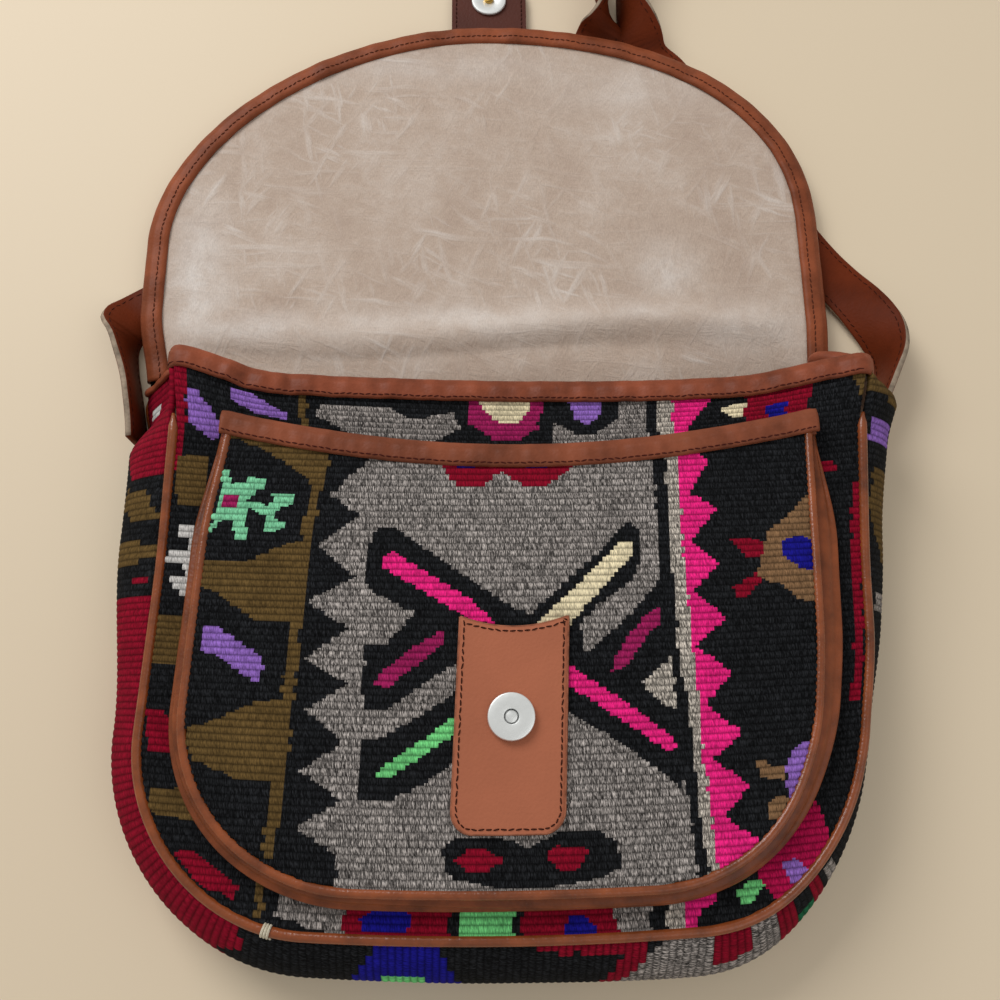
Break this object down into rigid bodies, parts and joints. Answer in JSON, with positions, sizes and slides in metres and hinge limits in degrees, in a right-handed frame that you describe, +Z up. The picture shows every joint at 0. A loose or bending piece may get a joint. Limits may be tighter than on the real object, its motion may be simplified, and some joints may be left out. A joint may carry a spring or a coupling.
{
  "type": "kilim messenger bag",
  "caption": "Soft shoulder bag of flat-woven wool kilim with leather bindings and piping, a rounded flap laid open, an outside pocket, a magnetic snap and a leather strap.",
  "frame": {"origin": "middle of the bag's footprint without its strap, on the surface it lies on", "axes": "+X to the bag's right seen from its front, +Y from its bottom to the flap's tip, +Z up out of the pocket's face"},
  "size_m": [0.3755, 0.6182, 0.0588],
  "materials": {
    "kilim": "ribbed flat-woven wool",
    "lining_canvas": "plain canvas",
    "tan_leather": "smooth, worn",
    "strap_leather": "smooth, raw edges",
    "snap_steel": "plated",
    "snap_magnet": "sintered",
    "snap_brass": "polished"
  },
  "bodies": {
    "root": {"back_flap_panel": "kilim", "front_panel": "kilim", "gusset": "kilim", "pocket_panel": "kilim", "back_flap_lining": "lining_canvas", "front_lining": "lining_canvas", "gusset_lining": "lining_canvas", "flap_binding": "tan_leather", "front_binding": "tan_leather", "gusset_binding_left": "tan_leather", "gusset_binding_right": "tan_leather", "front_piping": "tan_leather", "back_piping": "tan_leather", "pocket_gusset": "tan_leather", "pocket_piping": "tan_leather", "pocket_binding": "tan_leather", "snap_patch": "tan_leather", "tongue_outer": "tan_leather", "tongue_inner": "tan_leather", "strap": "strap_leather", "socket_case": "snap_steel", "socket_plate": "snap_steel", "socket_washer": "snap_steel", "stud_plate": "snap_steel", "stud_washer": "snap_steel", "socket_magnet": "snap_magnet", "stud_pin": "snap_brass"}
  },
  "joints": []
}
